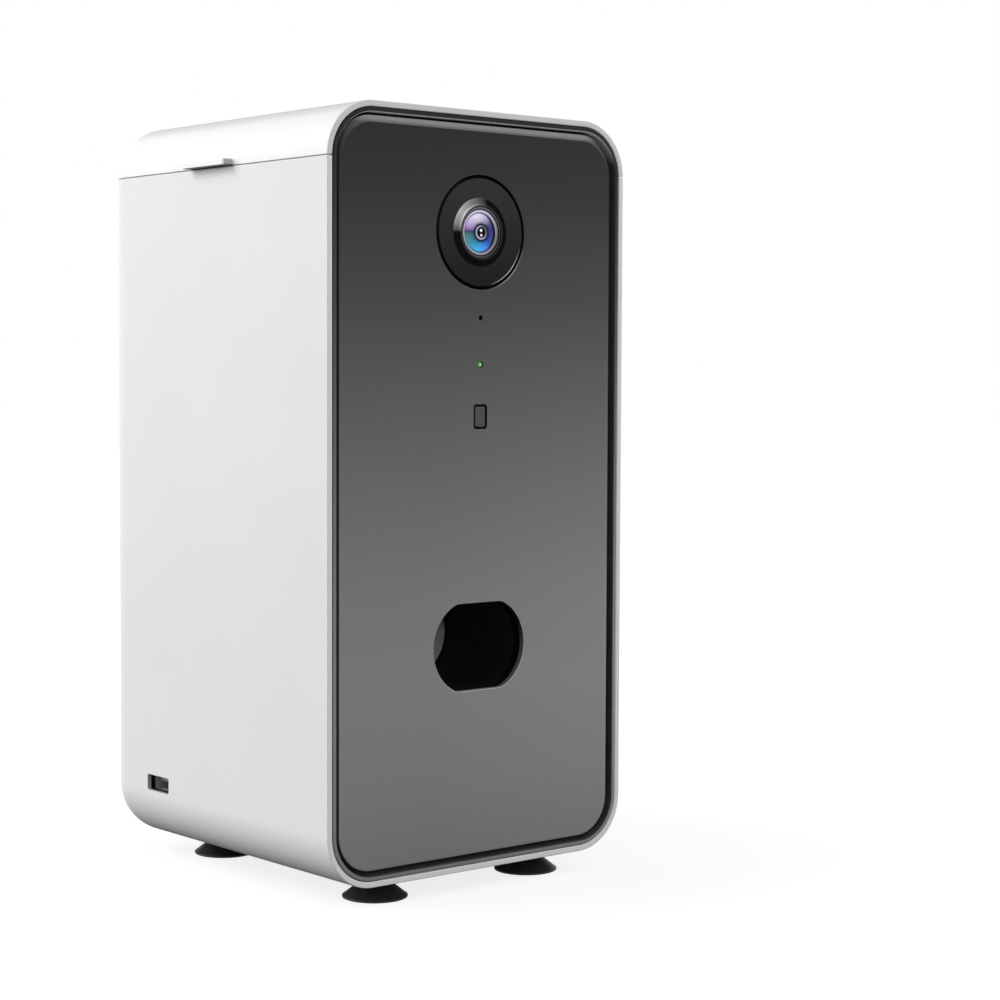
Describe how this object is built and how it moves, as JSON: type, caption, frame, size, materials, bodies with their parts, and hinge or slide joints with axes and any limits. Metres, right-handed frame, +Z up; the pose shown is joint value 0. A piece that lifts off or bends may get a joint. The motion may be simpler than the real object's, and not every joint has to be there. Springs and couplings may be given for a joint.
{
  "type": "treat tossing pet camera",
  "caption": "Upright rounded box with a dark front panel, round camera, treat outlet, hinged top lid over a treat bin, side power socket and suction cup feet.",
  "frame": {"origin": "on the table, under the middle of the object's extents", "axes": "+X to the object's right side as seen from the front, +Y from the front to the back, +Z up"},
  "size_m": [0.1321, 0.136, 0.2561],
  "materials": {
    "white_plastic": "satin",
    "dark_panel": "satin",
    "dark_frame": "satin",
    "black_dish": "gloss",
    "lens_metal": "satin",
    "lens_glass": "gloss",
    "black_plastic": "matte",
    "green_light": "gloss",
    "button_plastic": "matte",
    "black_rubber": "matte",
    "tunnel_plastic": "matte",
    "inner_plastic": "matte",
    "gear_plastic": "satin",
    "bin_plastic": "satin",
    "circuit_board": "satin",
    "ribbon_film": "satin",
    "steel": "brushed",
    "spring_steel": "satin",
    "bronze": "satin",
    "magnet_metal": "polished",
    "speaker_black": "satin",
    "socket_metal": "polished"
  },
  "bodies": {
    "housing": {"body_shell": "white_plastic", "catch_magnet": "magnet_metal", "hinge_pin": "steel", "front_frame": "dark_frame", "front_panel": "dark_panel", "camera_ring": "black_dish", "lens_ring": "lens_metal", "lens_glass": "lens_glass", "camera_module": "black_plastic", "camera_board": "circuit_board", "camera_ribbon": "ribbon_film", "main_board": "circuit_board", "board_screws": "steel", "radio_shield": "steel", "microphone": "steel", "mic_boot": "black_rubber", "light_pipe": "green_light", "switch_body": "black_plastic", "launch_barrel": "tunnel_plastic", "barrel_cap": "tunnel_plastic", "launch_spring": "spring_steel", "shaft_bushes": "bronze", "winding_motor": "steel", "chassis": "inner_plastic", "chassis_screws": "steel", "feed_deck": "inner_plastic", "deck_screws": "steel", "drop_chute": "inner_plastic", "wheel_axle": "steel", "feed_motor": "steel", "treat_bin": "bin_plastic", "throat_wiper": "inner_plastic", "power_socket": "socket_metal", "socket_tongue": "black_plastic", "power_board": "circuit_board", "speaker": "speaker_black", "foot_front_left": "black_rubber", "foot_front_right": "black_rubber", "foot_back_left": "black_rubber", "foot_back_right": "black_rubber"},
    "lid": {"lid_shell": "white_plastic", "lid_liner": "inner_plastic", "liner_screws": "steel", "lid_gasket": "black_rubber", "lid_magnet": "magnet_metal"},
    "toss_button": {"button_key": "button_plastic", "switch_plunger": "black_plastic"},
    "dosing_rotor": {"dosing_wheel": "gear_plastic", "agitator": "gear_plastic"},
    "feed_drive": {"feed_pinion": "gear_plastic", "feed_shaft": "steel"},
    "winding_drive": {"winding_gear": "gear_plastic", "winding_shaft": "steel"},
    "launcher": {"launch_plunger": "inner_plastic", "plunger_pad": "button_plastic"}
  },
  "joints": [
    {"name": "lid_hinge", "type": "hinge", "parent": "housing", "child": "lid", "pos_m": [0.0636, -0.008, 0.2381], "axis": [0, 1, 0], "range_deg": [0, 105]},
    {"name": "toss_button_press", "type": "slide", "parent": "housing", "child": "toss_button", "axis": [0, 1, 0], "range_m": [0, 0.0008], "stiffness_N_per_m": 300},
    {"name": "dosing_wheel_spin", "type": "hinge", "parent": "housing", "child": "dosing_rotor", "pos_m": [0, 0.00605, 0.1216], "axis": [0, 0, 1], "continuous": true},
    {"name": "feed_pinion_spin", "type": "hinge", "parent": "housing", "child": "feed_drive", "pos_m": [0.02864, 0.03469, 0.1171], "axis": [0, 0, 1], "continuous": true},
    {"name": "plunger_slide", "type": "slide", "parent": "housing", "child": "launcher", "axis": [0, 1, 0], "range_m": [0, 0.02], "stiffness_N_per_m": 200, "springref_m": -0.01, "deforming": ["launch_spring"]},
    {"name": "winding_gear_turn", "type": "hinge", "parent": "housing", "child": "winding_drive", "pos_m": [0, -0.00045, 0.0516], "axis": [-1, 0, 0], "range_deg": [0, 96]}
  ],
  "couplings": [
    {"joint": "feed_pinion_spin", "follows": "dosing_wheel_spin", "ratio": -4.4},
    {"joint": "winding_gear_turn", "follows": "plunger_slide", "rad_per_m": 83.333}
  ]
}
